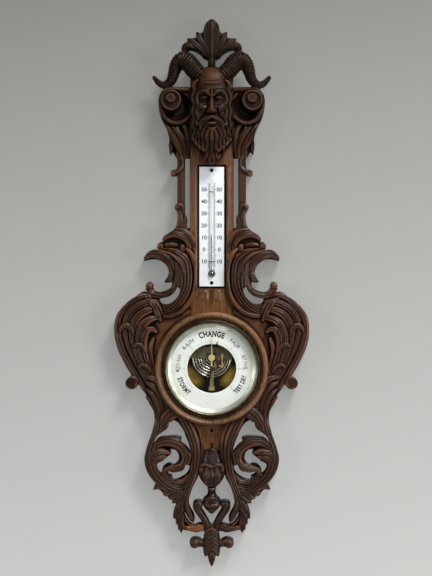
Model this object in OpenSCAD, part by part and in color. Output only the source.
// Carved walnut wall barometer with a thermometer.
// The wall is the plane y = 0, the front faces -Y, +Z is up and +X is to the viewer's right.
// The origin is the hole of the hanging plate, on the wall plane.
// A stroke is a list of [distance from the mid-plane, height, width, depth of the crown].

/* [Board] */
// Thickness of the walnut board
board_t = 22; // [16:1:30]
// Width of the neck that carries the thermometer
neck_w = 73; // [62:1:90]
// Hanging hole down to the centre of the dial
dial_drop = 473; // [440:1:560]
// Radius of the round seat behind the dial
disc_r = 94; // [92:1:112]
// Depth at which the side carvings start, off the wall
carve_back = 2; // [0:0.5:6]

/* [Dial] */
// Outer radius of the white dial ring that shows
dial_r = 75.3; // [68:0.1:76]
// Radius of the window in the dial
window_r = 41.5; // [34:0.5:48]
// Thickness of the dial ring
dial_t = 1.5; // [1:0.1:3]
// Thickness of the glass
glass_t = 3; // [2:0.5:4]
// Width of the brass bezel seen from the front
bezel_w = 2.9; // [2:0.1:5]
// Width of the turned wooden ring round the bezel
ring_w = 17.8; // [14:0.1:24]
// Height of the turned wooden ring above the board
ring_h = 22; // [20:0.5:26]

/* [Movement] */
// Inner radius of the brass case of the movement
case_r = 56; // [55.5:0.5:60]
// Wall of the brass case
case_wall = 1; // [0.6:0.1:2]
// Radius of the vacuum capsule
capsule_r = 35.5; // [28:0.5:36]
// Height of the capsule's centre above the dial's centre
capsule_rise = 17.5; // [14:0.5:18]
// Number of corrugations in the capsule
waves = 5; // [3:1:7]
// Radius of the hand's arbor
arbor_r = 0.6; // [0.5:0.05:0.65]
// Outer radius of the hairspring
hairspring_r = 6.6; // [5:0.1:8]
// Turns of the hairspring
hairspring_turns = 4; // [3:1:5]
// Angle of the pressure hand right of vertical, in degrees
hand_angle = 12; // [0:1:30]

/* [Thermometer] */
// Width of the enamelled plate
plate_w = 42; // [34:1:50]
// Height of the enamelled plate
plate_h = 203.5; // [180:0.5:230]
// Thickness of the enamelled plate
plate_t = 3; // [2:0.5:4]
// Hanging hole down to the middle of the plate
plate_drop = 232; // [225:1:245]
// Depth of the plate's bed in the board
bed_deep = 5; // [2:0.5:7]
// Margin of the bed round the plate
bed_gap = 3.8; // [1:0.1:6]
// Outer radius of the glass tube
tube_r = 3; // [2:0.25:4]
// Outer radius of the bulb
bulb_r = 5.4; // [4.5:0.1:7]

/* [Back] */
// Radius of the hole that takes the wall hook
hang_r = 4; // [3:0.25:6]
// Thickness of the brass hanging plate
hang_t = 1.5; // [1:0.1:2.5]

/* [Hidden] */

walnut = "#4a2a1a";
walnut_light = "#6b4226";
brass = "#b8923e";
steel = "#2c3450";
silver = "#a9a9a4";
enamel = "#f2f2ee";

// Clearances: one for glued seats that curve, one for pieces that turn
seat_gap = 0.3;
run_gap = 0.4;
far = 600;
neck_edge = neck_w / 2;
neck_shift = neck_edge - 36.5;
dial_z = -dial_drop;
plate_z = -plate_drop;
head_top = 38;
leaf_end = -114;
wing_k = disc_r / 94;
// Places against the dial's centre, for the standard round seat
step_top = 147;
step_in = 74;
wing_foot = -62;
// Heights against the dial's centre
crest_end = 280 * wing_k;
tail_end = -200 * wing_k;
pendant_top = -271 * wing_k;
link_in = 16 * wing_k;
link_out = 47 * wing_k;
strap_out = 34 * wing_k;
// Depths off the wall, from the back forward
case_d = 3;
base_d = 4.3;
base_t = 2;
capsule_d = 7;
capsule_t = 9;
boss_t = 0.9;
bar_d = 19.6;
spring_d = 20;
spring_t = 1.2;
rear_cock_d = 21.6;
lever_d = 24;
lever_t = 1.6;
hair_d = 28.2;
front_cock_d = 30.2;
cock_t = 1.2;
// Places in the movement against the dial's centre
pillar_x = 43;
pillar_up = 24;
spring_low = 16;
lever_up = 24;
bar_up = 3;
stud_x = 10.5;
stud_up = -5;
chain_up = 8;
foot_up = -34.5;
dial_d = board_t + 9;
hand_d = dial_d + 2.6;
set_d = hand_d + 1.2;
glass_d = set_d + 1.4;
ring_in = dial_r + bezel_w + seat_gap;
ring_out = ring_in + ring_w;
case_mouth = board_t + 4;
hole_r = case_r + case_wall + 1;
screw_ring = case_r + 7;
hair_in = 1.75;
// Thermometer: heights of the tube's ends, and depths of the plate's face and the tube's axis
tube_top = plate_z + plate_h / 2 - 23;
bulb_z = plate_z - plate_h / 2 + 21.5;
bed_floor = board_t - bed_deep;
moulding_top = -131;
panel_t = 2;
plate_front = bed_floor + plate_t;
tube_d = plate_front + tube_r + 0.1;
plate_hole_up = plate_h / 2 - 6;
// The branch runs from the bird's throat on to the wing
branch = [[60, 160, 9, 30], [64, 145, 8, 28], [68, 133, 7, 27], [79, 125, 7, 26], [93, 125.5, 7, 26], [105, 133, 7, 27]];

// Shapes stand in the plane of the wall and grow forward from depth a to depth b
module slab(a, b) {
    translate([0, -a, 0]) rotate([90, 0, 0]) linear_extrude(b - a) children();
}
module turned(profile) {
    rotate([90, 0, 0]) rotate_extrude($fn = 96) polygon(profile);
}
module peg(x, z, r, a, b, fn = 32) {
    translate([x, -a, z]) rotate([90, 0, 0]) cylinder(r = r, h = b - a, $fn = fn);
}
module rod(a, b, y, z, r) {
    translate([a, y, z]) rotate([0, 90, 0]) cylinder(r = r, h = b - a, $fn = 24);
}
module at_dial() {
    translate([0, 0, dial_z]) children();
}
module box(a, b) {
    translate([min(a[0], b[0]), min(a[1], b[1]), min(a[2], b[2])])
        cube([abs(b[0] - a[0]), abs(b[1] - a[1]), abs(b[2] - a[2])]);
}

// A curve through the points, with the other columns carried along
function bend(a, b, c, d, t) =
    0.5 * (2 * b + (c - a) * t + (2 * a - 5 * b + 4 * c - d) * t * t + (3 * b - a - 3 * c + d) * t * t * t);
function smooth(p, n) = [
    for (i = [0 : len(p) - 2], j = [0 : n - 1])
        bend(p[max(i - 1, 0)], p[i], p[i + 1], p[min(i + 2, len(p) - 1)], j / n),
    p[len(p) - 1]
];
function across(q, i) =
    let (a = q[max(i - 1, 0)], b = q[min(i + 1, len(q) - 1)], t = [b[0] - a[0], b[1] - a[1]])
    [-t[1], t[0]] / norm(t);
function spot(side, h, v, d) = [side * h, -d, v];
// A leaf's section: back, shoulders and the rib along the middle
function section(q, i, side, back) =
    let (p = q[i], n = across(q, i) * p[2] / 2, shoulder = back + 0.66 * (p[3] - back))
    [
        spot(side, p[0] - n[0], p[1] - n[1], back),
        spot(side, p[0] + n[0], p[1] + n[1], back),
        spot(side, p[0] + n[0], p[1] + n[1], shoulder),
        spot(side, p[0], p[1], p[3]),
        spot(side, p[0] - n[0], p[1] - n[1], shoulder)
    ];
// A solid between two sections of the same number of points
module between(a, b) {
    k = len(a);
    hull() polyhedron(concat(a, b), concat(
        [[for (j = [0 : k - 1]) j], [for (j = [k - 1 : -1 : 0]) k + j]],
        [for (j = [0 : k - 1]) [j, j + k, (j + 1) % k + k, (j + 1) % k]]));
}
// A long stroke already turns in small steps, and a short one gets a point between each two
function steps(points) = len(points) > 4 ? 1 : 2;
module leaf(side, points, back = carve_back, n = 0) {
    q = smooth(points, n > 0 ? n : steps(points));
    for (i = [0 : len(q) - 2]) between(section(q, i, side, back), section(q, i + 1, side, back));
}
module leaves(side, list, back = carve_back, n = 0) {
    for (p = list) leaf(side, p, back, n);
}
// A carved button: round, with a domed front
module button(side, h, v, r, d, back = carve_back) {
    hull() {
        translate([side * h, 0, v]) slab(back, d - 0.5 * r) circle(r, $fn = 12);
        translate([side * h, 0, v]) slab(back, d) circle(0.55 * r, $fn = 12);
    }
}
// Room of the round seat, and of the turned ring in front of it
module disc_room() {
    at_dial() slab(-1, 90) circle(disc_r + seat_gap, $fn = 72);
    at_dial() slab(board_t - seat_gap, 90) circle(max(disc_r, ring_out) + seat_gap, $fn = 72);
}
module outside(side) {
    box([side * neck_edge, 1, far], [side * far, -100, -2 * far]);
}

// Outline of the board's waist and tail below the round seat
function waist() = [
    for (p = [[33.5, -80], [33.5, -96], [21.6, -122], [18.2, -142], [20, -158], [14, -172], [8, -184], [8, -200]])
        p * wing_k
];
function mirrored(p) = concat(p, [for (i = [len(p) - 1 : -1 : 0]) [-p[i][0], p[i][1]]]);
module waist_shape() {
    polygon(mirrored(concat([[33.5 * wing_k, 0]], waist())));
}
module waist_room() {
    at_dial() slab(-1, 90) waist_shape();
}

module backboard() {
    crown_edge = [[0.01, head_top], [13, 36], [20, 40], [30, 47], [neck_edge, 47], [neck_edge, dial_z]];
    bed = [plate_w / 2 + bed_gap, plate_h / 2 + bed_gap];
    color(walnut_light) difference() {
        union() {
            slab(0, board_t) polygon(mirrored(crown_edge));
            at_dial() slab(0, board_t) circle(disc_r, $fn = 96);
            at_dial() slab(0, board_t) waist_shape();
            for (side = [-1, 1]) bed_moulding(side, bed);
            difference() {
                union() {
                    shoulder_panel(plate_z - bed[1]);
                    waist_panel();
                }
                at_dial() slab(board_t, board_t + 9) circle(ring_out + seat_gap, $fn = 96);
            }
        }
        at_dial() peg(0, 0, hole_r, -1, board_t + 1, 96);
        // Bed of the thermometer plate
        translate([0, 0, plate_z]) box([-bed[0], -bed_floor, -bed[1]], [bed[0], -board_t - 9, bed[1]]);
        for (z = [-1, 1]) peg(0, plate_z + z * plate_hole_up, 1.5, bed_floor - 7, board_t + 1);
        // Keyhole in the waist
        at_dial() {
            peg(0, -106 * wing_k, 3, board_t - 6, board_t + 9);
            box([-2, 6 - board_t, -138 * wing_k], [2, -board_t - 9, -127 * wing_k]);
        }
        // Recess of the hanging plate, and the pocket for the head of the hook
        box([-13, 1, -17], [13, -hang_t, 17]);
        peg(0, 0, 8, -1, 12);
        for (z = [-12, 12]) peg(0, z, 1.2, -1, 9);
        at_case_screws() peg(0, 0, 1.2, board_t - 9, board_t + 1);
    }
}
// A raised moulding along each side of the bed
module bed_moulding(side, bed) {
    low = plate_z - bed[1];
    inner = bed[0];
    run = neck_edge - 3 - inner;
    profile = [[0, -2], [0, 0.6], [0.16, 2], [0.36, 2.6], [0.6, 1.9], [0.78, 0.9], [1, 0.3], [1, -2]];
    translate([0, 0, low]) linear_extrude(moulding_top - low)
        polygon([for (p = profile) [side * (inner + p[0] * run), -board_t - p[1]]]);
}
// Below the bed a raised panel spreads in curved shoulders on to the turned ring
module shoulder_panel(top) {
    low = dial_z + ring_out;
    run = top - low;
    edge = [[0, 0.02], [22, 0.02], [20.6, 0.12], [21.4, 0.26], [24, 0.44], [27.5, 0.62], [31.5, 0.8], [35.5, 1], [35.5, 1.3]];
    difference() {
        slab(board_t - 1, board_t + panel_t)
            polygon(mirrored([for (p = edge) [max(p[0], 0.01), top - p[1] * run]]));
        // Slit between the two lobes
        hull() for (t = [0.11, 0.6]) peg(0, top - t * run, 1.7, board_t - 2, board_t + 9, 20);
    }
    for (x = [-11.4, 11.4]) hull() {
        for (t = [0.2, 0.42]) {
            peg(x, top - t * run, 6, board_t, board_t + panel_t + 0.4, 20);
            peg(x, top - t * run, 3, board_t, board_t + panel_t + 1.8, 20);
        }
    }
}
// The waist has a raised panel too, with scallops along its lower end
module waist_panel() {
    edge = [[34, -84], [31.8, -89.4], [23.3, -104.7], [18.4, -113.5], [15.6, -121.7], [13.6, -131], [13.1, -137],
        [14.3, -143], [12, -141.6], [9, -141], [6, -142.6], [4, -145.4], [2, -147], [0.01, -147.5]];
    at_dial() slab(board_t - 1, board_t + panel_t) scale(wing_k) polygon(mirrored(edge));
}

module turned_ring() {
    lip_r = dial_r - 3;
    // The front runs from the bezel over a bead and a cove up to a round crown near the outer edge
    moulding = [[0, 0.55], [0.8, 0.74], [2.4, 0.91], [4.6, 1], [7.2, 0.96], [9.4, 0.83], [11.4, 0.69], [12.8, 0.65],
        [13.8, 0.68], [14.4, 0.78], [15.6, 0.82], [16.6, 0.8], [17.8, 0.76]];
    front = [for (p = moulding) [ring_out - p[0] * ring_w / 17.8, board_t + p[1] * ring_h]];
    color(walnut_light) at_dial()
        turned(concat([[lip_r, board_t], [ring_out, board_t]], front, [[ring_in, dial_d], [lip_r, dial_d]]));
}

module crest_palmette() {
    side_lobes = [
        [[4, 56, 9, 22], [12, 78, 14, 27], [21, 92, 14, 27], [27, 98, 5, 22]],
        [[5, 53, 8, 22], [18, 69, 13, 27], [32, 80, 13, 27], [42, 85, 5, 22]],
        [[5, 49, 7, 20], [20, 60, 10, 25], [35, 72, 11, 26], [46, 74, 9, 24], [51, 67, 4, 20]]
    ];
    top_lobe = [[0, 30, 10, 20], [0, 52, 9, 24], [0, 84, 17, 27], [0, 105, 24, 29], [0, 115, 14, 26], [0, 119, 5, 22]];
    color(walnut) difference() {
        intersection() {
            union() {
                leaf(1, top_lobe);
                for (side = [-1, 1]) leaves(side, side_lobes);
                leaf(1, [[-9, 42, 8, 25], [0, 41, 9, 27], [9, 42, 8, 25]]);
            }
            box([-far, 0, head_top], [far, -90, far]);
        }
        mask_room(seat_gap);
    }
}

// The mask ends at these edges, and the horns start there
function mask_edge() = [[0.01, 60], [12, 37], [25, 22], [33, 8], [neck_edge - 1, 1], [neck_edge - 1, -130]];
module mask_room(grow = 0) {
    slab(board_t, 110) offset(delta = grow) polygon(mirrored(mask_edge()));
}

module horn(side) {
    spine = [[15, 16, 24, 36], [26, 31, 25, 37], [38, 46, 26, 37], [51, 52, 23, 37], [61, 42, 20, 36], [64, 27, 18, 34],
        [68, 13, 17, 33], [78, 8.5, 13, 33], [88, 12, 9, 34], [98, 20, 3, 35]];
    q = smooth(spine, 3);
    color(walnut) difference() {
        for (i = [0 : len(q) - 2]) between(ring(side, q, i), ring(side, q, i + 1));
        mask_room(seat_gap);
        box([-far, 1, -60], [far, -board_t, 100]);
        box([-far, 1, -60], [far, -100, 1 + seat_gap]);
    }
}
// One slice of a horn across its path; every second one is narrower, which makes the ribs
function ring(side, q, i) =
    let (n = across(q, i), r = (i % 2 == 0 ? 1 : 0.86) * q[i][2] / 2)
    [for (a = [0 : 45 : 315]) spot(side, q[i][0] + n[0] * r * cos(a), q[i][1] + n[1] * r * cos(a), q[i][3] + r * sin(a))];

// A horned grotesque: brow, eyes, broad nose, moustache, open mouth, curled beard and side locks
module mask() {
    base = [[0, 44, 16, 30], [0, 28, 44, 42], [0, 4, 54, 52], [0, -24, 52, 56], [0, -56, 46, 56],
        [0, -80, 34, 48], [0, -100, 20, 40]];
    features = [
        [[3, -13, 6, 68], [10, -5, 9, 67], [20, -5, 9, 62], [27, -13, 5, 54]],
        [[4, 6, 7, 58], [9, 12, 8, 57], [17, 13, 8, 53], [24, 7, 5, 48]],
        [[5, -42, 8, 72], [8, -45, 6, 69]],
        [[12, -30, 10, 62], [17, -38, 14, 64], [19, -48, 9, 60]],
        [[1, -52, 7, 71], [9, -56, 9, 70], [16, -63, 7, 66], [20, -73, 4, 60]],
        [[3, -76, 6, 66], [10, -74, 6, 64], [16, -68, 4, 62]],
        [[6, -82, 9, 62], [11, -93, 9, 60], [13, -105, 9, 56], [8, -115, 8, 52], [4, -110, 4, 50]],
        [[15, -76, 8, 58], [20, -86, 8, 54], [21, -97, 8, 50], [15, -104, 5, 47]],
        [[25, 4, 8, 46], [30, -14, 9, 48], [29, -36, 9, 50], [26, -56, 9, 48]],
        [[31, -40, 8, 44], [31, -58, 8, 44], [27, -75, 9, 44], [29, -86, 7, 42], [24, -89, 4, 40]],
        [[23, -60, 8, 52], [22, -78, 8, 50], [17, -90, 6, 46]]
    ];
    color(walnut) intersection() {
        difference() {
            union() {
                leaf(1, base, board_t);
                leaf(1, [[0, -8, 7, 66], [0, -26, 8, 71], [0, -40, 14, 78], [0, -48, 9, 72]], board_t);
                leaf(1, [[0, -74, 12, 68], [0, -84, 12, 66], [0, -98, 9, 60], [1, -112, 8, 54], [0, -124, 4, 44]], board_t);
                for (side = [-1, 1]) {
                    leaves(side, features, board_t, 1);
                    button(side, 13.5, -18.7, 5, 63, board_t);
                    button(side, 31, -1, 4.4, 44, board_t);
                }
            }
            // Open mouth
            hull() for (x = [-7, 7]) translate([x, 0, -67.5]) slab(56, 90) circle(2.4, $fn = 10);
        }
        mask_room();
    }
}

// A scroll that rises toward its eye, with leaf drops under it
module volute(side) {
    eye = [68.3 + neck_shift, -20];
    turn = 620;
    spiral = [for (i = [0 : 24]) let (t = i / 24, a = 262 - turn * t, r = 31 * pow(1 - t, 1.15) + 5)
        [eye[0] + r * cos(a), eye[1] + r * sin(a), 8.4 - 3 * t, 38 + 15 * t]];
    drops = [
        [[79, -50, 10, 34], [69, -70, 16, 34], [58, -90, 15, 30], [54, -104, 12, 26], [53, -120, 12, 24]],
        [[84, -42, 9, 30], [78, -62, 10, 30], [73, -84, 9, 28], [71, -98, 8, 26], [69, -110, 3, 22]],
        [[47, -38, 12, 28], [44, -58, 10, 26], [43, -76, 8, 26], [42, -94, 7, 24], [44, -113, 5, 22]],
        [[70, -94, 6, 24], [62, -103, 6, 24], [56, -112, 6, 24]]
    ];
    color(walnut) intersection() {
        union() {
            leaf(side, spiral, carve_back, 1);
            translate([side * (eye[0] - 5), 0, eye[1] - 6]) slab(carve_back, 33) circle(30.6, $fn = 28);
            translate([side * (eye[0] - 22), 0, eye[1] + 2]) slab(carve_back, 35.6) square([25.4, 37.4], center = true);
            translate([side * eye[0], 0, eye[1]]) slab(carve_back, 46) circle(15, $fn = 20);
            button(side, eye[0], eye[1], 6.4, 57);
            for (d = drops) leaf(side, [for (p = d) [p[0] + neck_shift, p[1], p[2], p[3]]]);
        }
        outside(side);
        box([-far, 0, 1], [far, -90, leaf_end]);
    }
}

module neck_strip(side) {
    x = 53 + neck_shift;
    top = leaf_end;
    bottom = dial_z + crest_end;
    mid = (top + bottom) / 2;
    color(walnut) intersection() {
        union() {
            leaf(side, [[x, top + 4, 12, 22], [x, mid, 11, 22], [x, bottom - 4, 12, 22]], carve_back, 3);
            leaf(side, [[x, -122, 7, 24], [x + 4, -134, 7, 24], [x + 11, -137, 6, 23]], carve_back, 2);
            button(side, x + 12.5, -139.5, 5, 24);
        }
        box([-far, 0, top], [far, -90, bottom]);
    }
}

// The sides of the dial: all heights and distances grow with the round seat
function at_wing(list) = [for (d = list) [for (p = d) [p[0] * wing_k, p[1] * wing_k, p[2] * wing_k, p[3]]]];
// The bird heads and the wings meet on a stepped line, and the wings end on a level cut
module wing_zone() {
    at_dial() slab(-1, 90) scale(wing_k)
        polygon([[0, step_top], [far, step_top], [far, wing_foot], [0, wing_foot]]);
}
module neck_zone() {
    at_dial() slab(-1, 90) scale(wing_k) polygon([[0, 400], [far, 400], [far, step_top], [step_in, step_top], [step_in, 0], [0, 0]]);
}
module mirror_side(side) {
    scale([side, 1, 1]) children();
}

module bird_head(side) {
    ground = [[0, 262], [45, 262], [45, 170], [44, 132], [54, 108], [78, 97], [78, 52], [0, 52]];
    flutes = [
        // Beak and the top of the head, running on into the neck
        [[116, 185, 3, 25], [111, 193, 10, 30], [100, 195.5, 13, 34], [84, 193, 15, 36], [70, 184, 15, 36],
            [59, 170, 14, 36], [53, 153, 13, 34], [53, 141, 7, 28]],
        [[44, 214, 9, 28], [38, 196, 12, 32], [36, 175, 13, 32], [37, 152, 12, 31], [43, 130, 12, 30],
            [55, 110, 12, 29], [73, 98, 11, 28], [92, 95, 9, 28]],
        [[62, 193, 9, 33], [48, 176, 11, 34], [45, 152, 11, 33], [50, 129, 10, 31], [62, 113, 9, 29], [76, 106, 8, 28]],
        [[72, 182, 8, 30], [66, 165, 10, 31], [69, 154, 9, 28], [80, 150, 3, 22]],
        branch,
        [[36, 219, 7, 26], [47, 229, 9, 31], [62, 229.5, 11, 34], [77, 223, 10, 32], [84, 217, 5, 26]],
        [[38, 208, 12, 26], [57, 210, 14, 28], [74, 210, 12, 28], [86, 208, 8, 27]],
        [[40, 222, 10, 24], [49, 232, 17, 27], [51, 248, 15, 26], [52, 264, 12, 26], [53, 276, 11, 25], [53, 284, 11, 24]]
    ];
    color(walnut) difference() {
        intersection() {
            translate([0, 0, dial_z]) union() {
                mirror_side(side) slab(carve_back, 16) scale(wing_k) polygon(ground);
                leaves(side, at_wing(flutes));
                button(side, 88 * wing_k, 208 * wing_k, 5.4, 30);
                button(side, 58 * wing_k, 274 * wing_k, 5.4, 28);
            }
            outside(side);
            mirror_side(side) neck_zone();
            box([-far, 0, -2 * far], [far, -90, dial_z + crest_end]);
        }
        disc_room();
    }
}

module wing(side) {
    ground = [[70, 131], [108, 130], [127, 123], [152, 106], [166, 79], [167, 60], [164, 44], [157, 27],
        [148, 10], [134, -13], [124, -31], [113, -44], [107, -54], [102, -62], [50, -62], [50, 0]];
    flutes = [
        [[108, 122, 8, 27], [130, 115, 11, 31], [150, 99, 11, 33], [160, 75, 11, 34], [159, 46, 11, 33],
            [147, 18, 11, 31], [132, -9, 10, 29], [127, -26, 8, 26]],
        [[97, 111, 8, 30], [121, 105, 11, 34], [141, 91, 11, 36], [150, 69, 11, 37], [148, 43, 12, 36],
            [136, 17, 12, 35], [123, -8, 11, 33], [111, -32, 10, 30], [103, -54, 8, 27]],
        [[94, 101, 8, 30], [111, 95, 10, 33], [130, 84, 10, 35], [139, 65, 10, 35], [138, 39, 10, 34],
            [127, 13, 10, 33], [114, -14, 10, 31], [103, -37, 10, 29], [96, -60, 11, 27], [95, -74, 11, 27]],
        [[120, -4, 8, 27], [125, 22, 9, 30], [123, 45, 9, 32], [114, 61, 9, 33], [103, 66, 8, 32], [95, 60, 5, 28]],
        [[118, 31, 6, 26], [115, 5, 8, 29], [105, -21, 10, 31], [92, -43, 10, 30], [85, -62, 10, 28], [83, -78, 9, 26]],
        [[102, 132, 8, 28], [100, 112, 10, 33], [94, 97, 10, 31], [91, 82, 6, 26]],
        [[112, -44, 7, 24], [108, -52, 8, 24], [102, -60, 6, 24]]
    ];
    color(walnut) difference() {
        intersection() {
            translate([0, 0, dial_z]) union() {
                mirror_side(side) slab(carve_back, 17) scale(wing_k) polygon(ground);
                leaves(side, at_wing(flutes));
                button(side, 136 * wing_k, -25 * wing_k, 10, 31);
                leaf(side, at_wing([branch])[0]);
                button(side, 106.5 * wing_k, 139 * wing_k, 6.2, 29);
            }
            mirror_side(side) wing_zone();
        }
        disc_room();
        neck_block(side);
    }
}
// Where the bird's neck lies on the wing's side of the stepped line
module neck_block(side) {
    at_dial() mirror_side(side) slab(-1, 90) scale(wing_k) polygon([[0, 200], [step_in, 200], [step_in, 0], [0, 0]]);
}

module lower_scroll(side) {
    flutes = [
        // Outer band
        [[96, -56, 12, 27], [91, -79, 14, 29], [93, -101, 15, 30], [102, -124, 15, 31], [106, -148, 15, 33],
            [102, -170, 14, 32], [92, -187, 13, 31], [80, -202, 13, 29], [66, -213, 12, 28], [50, -212, 9, 27]],
        // Leaf over the opening, with its barb
        [[85, -60, 10, 28], [81, -76, 10, 28], [87, -91, 10, 27], [80, -97, 7, 26], [73, -94, 3, 22]],
        [[51, -74, 10, 28], [65, -77, 13, 30], [79, -83, 11, 28], [89, -92, 8, 27]],
        // Strap beside the waist, in two flutes
        [[66, -70, 9, 28], [54, -89, 10, 31], [42, -111, 10, 32], [33, -135, 10, 32], [32, -159, 10, 32],
            [39, -182, 10, 31], [50, -200, 9, 29], [65, -205, 8, 28], [78, -200, 7, 26]],
        [[52, -72, 9, 28], [40, -89, 9, 31], [29, -111, 10, 32], [22, -135, 10, 32], [23.5, -160, 9, 32],
            [31, -184, 9, 31], [39, -206, 9, 31], [44, -229, 10, 31], [47, -250, 10, 29], [50, -270, 8, 25]],
        // Inner volute
        [[98, -133, 8, 29], [86, -123, 10, 33], [71, -121, 11, 35], [56, -127, 11, 35], [47, -140, 11, 35],
            [46, -156, 11, 35], [54, -167, 10, 34], [67, -168.5, 8, 32], [78, -170, 7, 30], [83, -179, 7, 28], [78, -190, 7, 26]],
        [[74, -117, 8, 31], [64, -115.5, 8, 31], [53, -119, 6, 28]],
        [[98, -160, 9, 29], [90, -146, 10, 31], [78, -142, 8, 29], [71, -145, 4, 24]],
        [[97, -168, 9, 28], [88, -157, 8, 27], [82, -156, 4, 25]],
        [[82, -186, 9, 27], [70, -197, 9, 29], [55, -196, 8, 28], [43, -184, 7, 27]],
        // Barbs and the foot
        [[90, -192, 8, 25], [100, -206, 3, 20]],
        [[76, -208, 8, 25], [84, -214, 3, 20]],
        [[62, -218, 8, 25], [68, -229, 3, 20]],
        [[46, -214, 9, 27], [54, -230, 12, 28], [59, -246, 12, 28], [58, -262, 10, 26], [52, -280, 4, 22]],
        [[58, -240, 9, 24], [66, -251, 4, 20]],
        [[44, -230, 7, 25], [40, -243, 8, 27], [38, -254, 6, 26], [37, -261, 3, 22]]
    ];
    color(walnut) difference() {
        translate([0, 0, dial_z]) intersection() {
            leaves(side, at_wing(flutes));
            box([side * 10, 0, wing_foot * wing_k], [side * far, -90, -far]);
        }
        disc_room();
        waist_room();
        // Room for the strap and for the link to the pendant
        translate([0, 0, dial_z]) {
            box([0, 1, -218 * wing_k], [side * (strap_out + seat_gap), -90, -300 * wing_k]);
            box([0, 1, -262 * wing_k], [side * link_out, -90, -284 * wing_k]);
        }
    }
}

module bud_drop() {
    k = wing_k;
    over_tail = [
        [[0, -156, 10, 38], [0, -172, 14, 46], [0, -188, 13, 45], [0, -203, 7, 38]],
        [[8, -160, 8, 36], [15, -174, 11, 42], [13, -188, 10, 41], [6, -202, 7, 36]]
    ];
    cup = [[0, -214, 15, 30], [0, -222, 28, 34], [0, -232, 30, 35], [0, -240, 22, 33], [0, -246, 10, 28]];
    color(walnut) union() {
        translate([0, 0, dial_z]) intersection() {
            union() {
                leaf(1, at_wing(over_tail)[0], board_t);
                for (side = [-1, 1]) leaf(side, at_wing(over_tail)[1], board_t);
            }
            box([-far, -board_t, -140 * k], [far, -90, -206 * k]);
        }
        translate([0, 0, dial_z]) intersection() {
            union() {
                leaf(1, [[0, -196 * k, 14, 34], [0, -208 * k, 13, 34], [0, -218 * k, 15, 32]]);
                leaf(1, at_wing([cup])[0]);
            }
            box([-15 * k, 0, tail_end], [15 * k, -90, -far]);
        }
    }
}

module pendant_strap() {
    k = wing_k;
    arm = [[12, -226, 8, 26], [23, -225, 9, 28], [30, -232, 9, 28], [28, -243, 9, 28], [19, -257, 10, 28], [5, -276, 12, 28]];
    joint = [[-9, -266, 9, 26], [0, -264, 10, 29], [9, -266, 9, 26]];
    color(walnut) translate([0, 0, dial_z]) difference() {
        intersection() {
            union() {
                for (side = [-1, 1]) leaf(side, at_wing([arm])[0]);
                leaf(1, at_wing([joint])[0]);
            }
            box([-strap_out, 0, 0], [strap_out, -90, pendant_top]);
        }
        box([-15 * k, 1, 0], [15 * k, -90, -247 * k]);
        for (side = [-1, 1]) box([side * link_in, 1, -263 * k], [side * far, -90, -far]);
    }
}

module tail_link(side) {
    color(walnut) translate([0, 0, dial_z]) intersection() {
        leaf(side, at_wing([[[52, -272, 13, 23], [40, -273, 11, 26], [28, -272, 9, 26], [12, -276, 10, 26]]])[0], carve_back, 3);
        box([side * link_in, 0, -263 * wing_k], [side * link_out, -90, -283 * wing_k]);
    }
}

module pendant() {
    k = wing_k;
    body = [[0, -264, 16, 32], [0, -282, 26, 37], [0, -300, 22, 37], [0, -316, 12, 34], [0, -334, 4, 28]];
    wings = [
        [[6, -266, 12, 30], [12, -282, 10, 33], [12, -300, 9, 32], [9, -312, 7, 30], [7, -321, 3, 26]],
        [[10, -290, 8, 29], [18, -294, 7, 28], [26, -296, 7, 28]]
    ];
    color(walnut) translate([0, 0, dial_z]) difference() {
        intersection() {
            union() {
                leaf(1, at_wing([body])[0]);
                for (side = [-1, 1]) {
                    leaves(side, at_wing(wings));
                    button(side, 28.5 * k, -297 * k, 7.6, 29);
                }
            }
            box([-far, 0, pendant_top], [far, -90, -far]);
        }
        for (side = [-1, 1]) box([side * link_in, 1, 0], [side * far, -90, -283 * k]);
    }
}

// Thermometer
function clip_heights() = [plate_z + plate_h / 2 - 43, plate_z - plate_h / 2 + 42];

module thermometer_plate() {
    color(enamel) difference() {
        translate([0, 0, plate_z]) slab(bed_floor, plate_front) square([plate_w, plate_h], center = true);
        for (z = [-1, 1]) peg(0, plate_z + z * plate_hole_up, 1.7, bed_floor - 3, board_t + 5);
        // Recess behind the bulb
        translate([0, -tube_d, bulb_z]) sphere(bulb_r + 0.3, $fn = 40);
        for (z = clip_heights(), x = [-1, 1]) peg(x * (tube_r + 0.9), z, 0.7, bed_floor - 3, board_t + 5);
    }
}

module thermometer_tube() {
    color("#dfe6e6") translate([0, -tube_d, 0]) difference() {
        union() {
            translate([0, 0, bulb_z]) cylinder(r = tube_r, h = tube_top - bulb_z, $fn = 40);
            translate([0, 0, tube_top]) sphere(tube_r, $fn = 40);
            translate([0, 0, bulb_z]) sphere(bulb_r, $fn = 48);
        }
        translate([0, 0, bulb_z]) cylinder(r = 0.9, h = tube_top - bulb_z, $fn = 24);
        translate([0, 0, bulb_z]) sphere(bulb_r - 0.8, $fn = 40);
    }
}

module mercury() {
    level = bulb_z + 0.42 * (tube_top - bulb_z);
    color("#8f9396") translate([0, -tube_d, bulb_z]) union() {
        sphere(bulb_r - 0.9, $fn = 40);
        cylinder(r = 0.8, h = level - bulb_z, $fn = 24);
    }
}

// Wire staples over the tube, with their legs through the plate
module tube_clips() {
    color(brass) for (z = clip_heights()) translate([0, 0, z]) {
        difference() {
            translate([0, -tube_d, -0.6]) cylinder(r = tube_r + 1.5, h = 1.2, $fn = 40);
            translate([0, -tube_d, -2]) cylinder(r = tube_r + 0.3, h = 4, $fn = 40);
            box([-9, 9 - tube_d, -3], [9, -tube_d, 3]);
        }
        for (x = [-1, 1]) peg(x * (tube_r + 0.9), 0, 0.6, bed_floor, tube_d + 0.01);
    }
}

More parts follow.
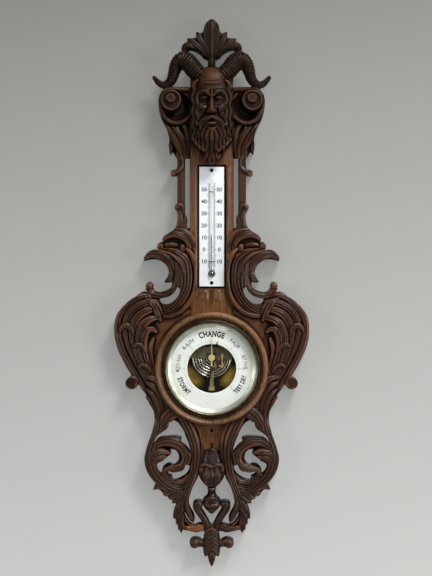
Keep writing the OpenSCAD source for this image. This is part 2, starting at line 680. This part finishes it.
module plate_screws() {
    color(brass) for (z = [-1, 1]) translate([0, 0, plate_z + z * plate_hole_up]) difference() {
        union() {
            peg(0, 0, 1.3, bed_floor - 6, plate_front + 0.3);
            peg(0, 0, 2.9, plate_front + 0.1, plate_front + 1.2);
        }
        box([-3.5, -plate_front - 0.7, -0.35], [3.5, -plate_front - 3, 0.35]);
    }
}

// Dial
module dial_ring() {
    out = ring_in - seat_gap;
    front = dial_d + dial_t;
    color(enamel) at_dial()
        turned([[window_r, dial_d], [out, dial_d], [out, front], [window_r + 1, front], [window_r, front - 0.5]]);
}

module bezel() {
    out = ring_in - 0.15;
    low = dial_d + dial_t + 0.1;
    front = glass_d + glass_t;
    color(brass) at_dial() turned([
        [dial_r + 1.2, low], [out, low], [out, front + 5], [out - 0.8, front + 6.6], [out - 1.8, front + 6.2],
        [dial_r, front + 1.4], [dial_r, front + 0.1], [dial_r + 1.2, front + 0.1]
    ]);
}

module dial_glass() {
    r = dial_r + 1;
    color("#e8f0f0", 0.3) at_dial() turned([
        [2, glass_d], [r, glass_d], [r, glass_d + glass_t - 1.6], [r - 8, glass_d + glass_t], [2, glass_d + glass_t]
    ]);
}

// The set hand is a thin pointer with a disc on its stem, under the glass
module set_hand() {
    color(brass) at_dial() difference() {
        union() {
            peg(0, 0, 4, set_d, set_d + 0.8);
            peg(0, 18.4, 5.6, set_d, set_d + 0.8);
            slab(set_d, set_d + 0.8) polygon([[-1.5, 0], [1.5, 0], [1, 22], [0.5, 52], [-0.5, 52], [-1, 22]]);
        }
        peg(0, 0, 1.5, set_d - 1, set_d + 2);
    }
}

module set_knob() {
    front = glass_d + glass_t;
    color(brass) at_dial() union() {
        peg(0, 0, 1.5, set_d, front + 1);
        difference() {
            peg(0, 0, 4.4, front + run_gap, front + 7);
            for (a = [0 : 20 : 340]) peg(4.7 * cos(a), 4.7 * sin(a), 0.55, front - 1, front + 8, 16);
        }
        peg(0, 0, 3.4, front + 6.9, front + 7.8);
    }
}

module pressure_hand() {
    tip = window_r + 8;
    color(steel) at_dial() rotate([0, hand_angle, 0]) difference() {
        union() {
            peg(0, 0, 3.4, hand_d, hand_d + 0.7);
            slab(hand_d, hand_d + 0.7) polygon([
                [-1.3, -16], [-2.6, -20], [0, -26], [2.6, -20], [1.3, -16], [0.9, 0], [0.7, 26],
                [3, 34], [0, tip], [-3, 34], [-0.7, 26], [-0.9, 0]
            ]);
        }
        peg(0, 0, arbor_r + 0.01, hand_d - 1, hand_d + 2);
    }
}

// Movement
module at_case_screws() {
    at_dial() for (a = [90, 210, 330]) translate([screw_ring * cos(a), 0, screw_ring * sin(a)]) children();
}

module movement_case() {
    out = case_r + case_wall;
    color(brass) difference() {
        at_dial() union() {
            turned([[0, case_d], [out, case_d], [out, case_mouth], [case_r, case_mouth],
                [case_r, case_d + case_wall], [0, case_d + case_wall]]);
            for (a = [90, 210, 330]) rotate([0, -a, 0])
                box([case_r + 0.5, -board_t, -6], [case_r + 12, -board_t - 1.4, 6]);
        }
        at_case_screws() peg(0, 0, 1.7, board_t - 1, board_t + 3);
        at_dial() peg(0, capsule_rise, 3, case_d - 1, case_d + 3);
    }
}

module movement_base() {
    color(brass) at_dial() difference() {
        peg(0, 0, case_r - 0.5, base_d, base_d + base_t, 96);
        peg(0, capsule_rise, 3, base_d - 1, base_d + base_t + 1);
    }
}

// Corrugated face of the capsule: waves between the flat centre and the rim
function corrugation(r0, r1, d, n) = [
    for (i = [0 : n * 8]) let (t = i / (n * 8)) [r0 + (r1 - r0) * t, d - 0.9 * (1 - cos(360 * n * t)) / 2]
];
module capsule() {
    front = capsule_d + capsule_t;
    face = corrugation(9, capsule_r - 3, front, waves);
    color(silver) at_dial() translate([0, 0, capsule_rise]) turned(concat(
        [[0, capsule_d - 0.3], [4, capsule_d - 0.3], [4, capsule_d + 0.6], [capsule_r - 2, capsule_d + 0.6],
            [capsule_r, capsule_d + 2.4], [capsule_r, front - 1.6], [capsule_r - 1.6, front]],
        [for (i = [len(face) - 1 : -1 : 0]) face[i]],
        [[6, front + boss_t], [0, front + boss_t]]));
}

// The post carries the pull of the capsule through the spring to the lever
module capsule_post() {
    foot = capsule_d + capsule_t + boss_t + 0.8;
    color(brass) at_dial() translate([0, 0, capsule_rise]) union() {
        peg(0, 0, 4.5, foot, foot + 1.2);
        peg(0, 0, 1.8, foot + 1.1, lever_d - lever_t / 2 - 0.4);
    }
}

module main_spring() {
    low = spring_low;
    high = pillar_up + 12;
    color("#7c7148") at_dial() difference() {
        slab(spring_d, spring_d + spring_t) polygon([
            [-46, pillar_up - 5], [-30, low], [30, low], [46, pillar_up - 5],
            [46, pillar_up + 5], [34, high], [-34, high], [-46, pillar_up + 5]
        ]);
        peg(0, capsule_rise, 2.6, spring_d - 1, spring_d + 3);
        box([-2.6, 1 - spring_d, low - 1], [2.6, -spring_d - 3, capsule_rise]);
        for (x = [-1, 1]) peg(x * pillar_x, pillar_up, 1.7, spring_d - 1, spring_d + 3);
    }
}

module spring_pillars() {
    seat = spring_d + spring_t;
    color(brass) at_dial() for (x = [-1, 1]) {
        peg(x * pillar_x, pillar_up, 4, base_d + base_t, spring_d);
        peg(x * pillar_x, pillar_up, 1.5, spring_d - 0.01, seat + 2.4);
        peg(x * pillar_x, pillar_up, 3, seat + 0.1, seat + 1.9);
    }
}

// The lever hangs from a cross pin over the post and reaches down past the rocking bar
module lever_arm() {
    a = lever_d - lever_t / 2;
    b = lever_d + lever_t / 2;
    color("#8d8455") at_dial() difference() {
        union() {
            rod(-5.8, 5.8, -lever_d, lever_up, 2);
            slab(a, b) polygon([
                [-5, lever_up], [-5, 19], [-3, 15], [3, 13.5], [8.5, 9], [8.5, -11], [12.5, -11],
                [12.5, 13], [6, 19], [5, lever_up]
            ]);
        }
        rod(-8, 8, -lever_d, lever_up, 1.06);
        // Slot for the rocking bar's stud
        box([stud_x - 0.8, -a + 1, stud_up - 4], [stud_x + 0.8, -b - 1, stud_up + 4.5]);
    }
}

// Two ears on the spring hold the lever's cross pin
module lever_bracket() {
    seat = spring_d + spring_t;
    color(brass) at_dial() union() {
        rod(-8.4, 8.4, -lever_d, lever_up, 1);
        for (x = [-1, 1]) box([x * 6.3, -seat, lever_up - 3], [x * 8.3, -lever_d - 2, lever_up + 3]);
    }
}

// The rocking bar: one short arm is moved by the lever, the other draws the chain
module rocking_bar() {
    color(brass) at_dial() union() {
        rod(0.2, 19.6, -bar_d, bar_up, 1.1);
        box([9.3, 0.5 - bar_d, stud_up - 0.6], [11.7, -bar_d - 0.5, bar_up]);
        peg(stud_x, stud_up, 0.5, bar_d, bar_d + 6.9, 20);
        box([0.2, 0.6 - bar_d, bar_up], [1.5, -bar_d - 0.6, chain_up + 0.6]);
        box([0.2, 0.6 - bar_d, chain_up - 0.6], [1.5, -bar_d - 6, chain_up + 0.6]);
    }
}

// Strips that stand on the spring plate and carry the rocking bar
module bar_strip(x, w, front, top) {
    seat = spring_d + spring_t;
    difference() {
        union() {
            box([x, -seat, spring_low - 1], [x + w, -front, top]);
            box([x, 1.6 - bar_d, bar_up - 2.2], [x + w, -front, spring_low - 0.3]);
        }
        rod(x - 1, x + w + 1, -bar_d, bar_up, 1.16);
    }
}
module bar_brackets() {
    color(brass) at_dial() {
        bar_strip(16.6, 2.2, 22.8, 25);
        bar_strip(4.8, 1.8, 21.8, 18.6);
        peg(17.7, 21, 2.3, 22.7, 23.8, 24);
    }
}

module drag_chain() {
    color(steel) at_dial() translate([0.9, -bar_d - 5.4, 0.4]) cylinder(r = 0.2, h = chain_up - 1.3, $fn = 16);
}

module hand_arbor() {
    color(steel) at_dial() union() {
        peg(0, 0, arbor_r, rear_cock_d - 0.6, hand_d + 0.9, 24);
        peg(0, 0, 1.3, hair_d - 0.4, hair_d + 1.4, 24);
    }
}

// Two cocks on a pillar hold the arbor; the front one is the tapered arm seen in the window
module cock(a, end, width) {
    difference() {
        slab(a, a + cock_t) polygon([
            [-width, end], [width, end], [width + 0.4, -4], [3.4, foot_up + 5], [5.2, foot_up + 2],
            [5.2, foot_up - 3.4], [-5.2, foot_up - 3.4], [-5.2, foot_up + 2], [-3.4, foot_up + 5], [-width - 0.4, -4]
        ]);
        peg(0, 0, arbor_r + 0.05, a - 1, a + 3, 24);
        peg(0, foot_up, 1.6, a - 1, a + 3, 24);
    }
}
module front_cock() {
    color("#8d8455") at_dial() union() {
        cock(front_cock_d, 3.6, 2.4);
        // Stud for the outer end of the hairspring
        peg(0, -hairspring_r - 0.9, 0.6, hair_d - 0.2, front_cock_d + 0.1, 20);
    }
}
module rear_cock() {
    color(brass) at_dial() cock(rear_cock_d, 1.6, 1.6);
}
module cock_pillar() {
    color(brass) at_dial() union() {
        peg(0, foot_up, 3, base_d + base_t, rear_cock_d);
        peg(0, foot_up, 1.5, rear_cock_d - 0.1, rear_cock_d + cock_t + 0.1);
        peg(0, foot_up, 3, rear_cock_d + cock_t, front_cock_d);
        peg(0, foot_up, 1.5, front_cock_d - 0.1, front_cock_d + cock_t + 0.1);
        difference() {
            peg(0, foot_up, 2.8, front_cock_d + cock_t, front_cock_d + cock_t + 1);
            box([-4, -front_cock_d - cock_t - 0.5, foot_up - 0.35], [4, -front_cock_d - cock_t - 3, foot_up + 0.35]);
        }
    }
}

// Flat spiral of steel ribbon, from the collet on the arbor out to the stud
function hair_point(t) =
    let (a = 360 * hairspring_turns * t - 90, r = hair_in + (hairspring_r - hair_in) * t) [r * cos(a), r * sin(a)];
module hairspring() {
    n = hairspring_turns * 24;
    ribbon = 0.3;
    c = [for (i = [0 : n]) hair_point(i / n)];
    gap = min([for (i = [0 : n - 24]) norm(c[i + 24]) - norm(c[i])]) - ribbon;
    echo(str("least gap of the hairspring, mm: ", gap));
    outer = [for (p = c) p * (norm(p) + ribbon / 2) / norm(p)];
    inner = [for (i = [n : -1 : 0]) c[i] * (norm(c[i]) - ribbon / 2) / norm(c[i])];
    color(steel) at_dial() slab(hair_d, hair_d + 1) polygon(concat(outer, inner));
}

module adjusting_screw() {
    color(brass) at_dial() translate([0, 0, capsule_rise]) difference() {
        union() {
            peg(0, 0, 2.6, 1.5, capsule_d - 0.4);
            peg(0, 0, 4.6, 0.6, case_d - 0.3);
        }
        box([-5, 1, -0.5], [5, -1.5, 0.5]);
    }
}

module case_screws() {
    color(brass) at_case_screws() difference() {
        union() {
            peg(0, 0, 1.1, board_t - 8, board_t + 2);
            peg(0, 0, 2.8, board_t + 1.5, board_t + 2.9);
        }
        box([-4, -board_t - 2.2, -0.4], [4, -board_t - 5, 0.4]);
    }
}

// Back
module hanging_plate() {
    color(brass) difference() {
        slab(0, hang_t) square([25.4, 33.4], center = true);
        peg(0, 0, hang_r, -1, hang_t + 1, 48);
        for (z = [-12, 12]) peg(0, z, 1.6, -1, hang_t + 1);
    }
}

module hanger_screws() {
    color(brass) for (z = [-12, 12]) translate([0, 0, z]) difference() {
        union() {
            peg(0, 0, 1.1, 0.1, 8);
            peg(0, 0, 1.5, 0, hang_t, 24);
        }
        box([-3, 1, -0.3], [3, -0.6, 0.3]);
    }
}

backboard();
turned_ring();
crest_palmette();
horn(-1);  // horn_left
horn(1);  // horn_right
mask();
volute(-1);  // volute_left
volute(1);  // volute_right
neck_strip(-1);  // neck_strip_left
neck_strip(1);  // neck_strip_right
bird_head(-1);  // bird_head_left
bird_head(1);  // bird_head_right
wing(-1);  // wing_left
wing(1);  // wing_right
lower_scroll(-1);  // lower_scroll_left
lower_scroll(1);  // lower_scroll_right
bud_drop();
pendant_strap();
tail_link(-1);  // tail_link_left
tail_link(1);  // tail_link_right
pendant();
thermometer_plate();
thermometer_tube();
mercury();
tube_clips();
plate_screws();
dial_ring();
bezel();
dial_glass();
set_hand();
set_knob();
pressure_hand();
movement_case();
movement_base();
capsule();
capsule_post();
main_spring();
spring_pillars();
lever_arm();
lever_bracket();
rocking_bar();
bar_brackets();
drag_chain();
hand_arbor();
front_cock();
rear_cock();
cock_pillar();
hairspring();
adjusting_screw();
case_screws();
hanging_plate();
hanger_screws();
